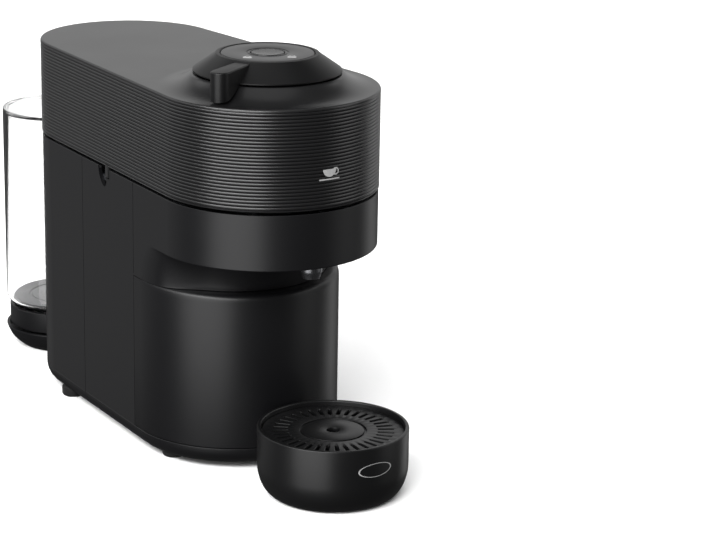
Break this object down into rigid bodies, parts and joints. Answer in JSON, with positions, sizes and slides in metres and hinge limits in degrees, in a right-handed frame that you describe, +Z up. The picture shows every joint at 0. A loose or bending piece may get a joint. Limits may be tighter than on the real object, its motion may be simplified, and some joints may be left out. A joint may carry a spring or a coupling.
{
  "type": "pod coffee machine",
  "caption": "Countertop pod coffee machine with a ribbed tilting head, lever knob, round cup stand, pull-out capsule container and clear rear water tank.",
  "frame": {"origin": "on the table under the centre of the whole machine's outline", "axes": "+Z up; -Y is the front, towards the cup stand; +X is to the right of someone facing the front"},
  "size_m": [0.136, 0.426, 0.254],
  "materials": {
    "body_plastic": "satin moulded ABS",
    "cap_plastic": "satin moulded ABS, ribbed",
    "lever_plastic": "satin moulded ABS",
    "disc_plastic": "semi-gloss moulded PC",
    "button_plastic": "semi-gloss moulded PC",
    "tray_plastic": "satin moulded ABS",
    "inner_plastic": "plain moulded PP",
    "holder_plastic": "moulded PP",
    "clear_plastic": "clear moulded SAN",
    "grey_plastic": "grey moulded POM",
    "steel": "turned",
    "pressed_steel": "pressed",
    "aluminium": "die cast",
    "rubber": "moulded",
    "silicone": "extruded silicone",
    "board": "solder mask",
    "spout_metal": "satin plated"
  },
  "bodies": {
    "body": {"body_shell": "body_plastic", "base_plate": "inner_plastic", "rubber_feet": "rubber", "inner_deck": "inner_plastic", "coffee_collector": "inner_plastic", "coffee_spout": "spout_metal", "holder_bearing": "steel", "lock_ring": "inner_plastic", "eject_chute": "inner_plastic", "pump": "pressed_steel", "pump_mounts": "rubber", "pump_bracket": "pressed_steel", "flow_meter": "inner_plastic", "boiler": "aluminium", "feed_hose": "silicone", "pump_hose": "silicone", "boiler_hose": "silicone", "brew_hose": "silicone", "control_board": "board", "board_parts": "board", "board_frame": "inner_plastic", "cord_gland": "body_plastic", "tank_holder": "holder_plastic", "inlet_seal": "rubber", "hinge_bracket": "pressed_steel", "hinge_pin": "steel", "base_screws": "steel"},
    "holder": {"capsule_holder": "grey_plastic"},
    "head": {"head_cap": "cap_plastic", "head_floor": "inner_plastic", "hinge_shroud": "cap_plastic", "hinge_knuckles": "inner_plastic", "brew_carrier": "inner_plastic", "spindle_bearing": "steel", "brew_motor": "pressed_steel", "drive_belt": "rubber", "head_hose": "silicone", "head_screws": "steel"},
    "bell": {"brew_bell": "grey_plastic", "spindle_pulley": "grey_plastic"},
    "rotor": {"motor_shaft": "steel", "motor_pulley": "grey_plastic"},
    "lever": {"lever_knob": "lever_plastic", "knob_disc": "disc_plastic", "knob_core": "inner_plastic", "lock_drum": "inner_plastic", "button_dome": "silicone"},
    "button": {"brew_button": "button_plastic"},
    "container": {"container_shell": "body_plastic", "capsule_bin": "inner_plastic", "tray_arm": "body_plastic", "drip_tray": "tray_plastic"},
    "grid": {"drip_grid": "tray_plastic"},
    "tank": {"tank_wall": "clear_plastic", "tank_floor": "grey_plastic", "tank_collar": "holder_plastic", "valve_cage": "grey_plastic", "valve_spring": "steel"},
    "lid": {"tank_lid": "clear_plastic"},
    "valve": {"tank_valve": "grey_plastic"}
  },
  "joints": [
    {"name": "head_hinge", "type": "hinge", "parent": "body", "child": "head", "pos_m": [0, 0.1247, 0.1718], "axis": [-1, 0, 0], "range_deg": [0, 40]},
    {"name": "lever_turn", "type": "hinge", "parent": "head", "child": "lever", "pos_m": [0, -0.0923, 0.25], "axis": [0, 0, 1], "range_deg": [0, 80]},
    {"name": "button_press", "type": "slide", "parent": "lever", "child": "button", "axis": [0, 0, -1], "range_m": [0, 0.001], "stiffness_N_per_m": 600, "deforming": ["button_dome"]},
    {"name": "bell_spin", "type": "hinge", "parent": "head", "child": "bell", "pos_m": [0, -0.0923, 0.18], "axis": [0, 0, 1], "continuous": true},
    {"name": "rotor_spin", "type": "hinge", "parent": "head", "child": "rotor", "pos_m": [0, -0.012, 0.2], "axis": [0, 0, 1], "continuous": true},
    {"name": "holder_spin", "type": "hinge", "parent": "body", "child": "holder", "pos_m": [0, -0.0923, 0.15], "axis": [0, 0, 1], "continuous": true},
    {"name": "container_pull", "type": "slide", "parent": "body", "child": "container", "axis": [0, -1, 0], "range_m": [0, 0.125]},
    {"name": "grid_lift", "type": "slide", "parent": "container", "child": "grid", "axis": [0, 0, 1], "range_m": [0, 0.03]},
    {"name": "tank_lift", "type": "slide", "parent": "body", "child": "tank", "axis": [0, 0, -1], "range_m": [-0.06, 0]},
    {"name": "lid_lift", "type": "slide", "parent": "tank", "child": "lid", "axis": [0, 0, -1], "range_m": [-0.03, 0]},
    {"name": "valve_press", "type": "slide", "parent": "tank", "child": "valve", "axis": [0, 0, 1], "range_m": [0, 0.002], "stiffness_N_per_m": 120, "deforming": ["valve_spring"]}
  ],
  "couplings": [
    {"joint": "rotor_spin", "follows": "bell_spin", "ratio": 1.5},
    {"joint": "holder_spin", "follows": "bell_spin", "ratio": 1}
  ]
}
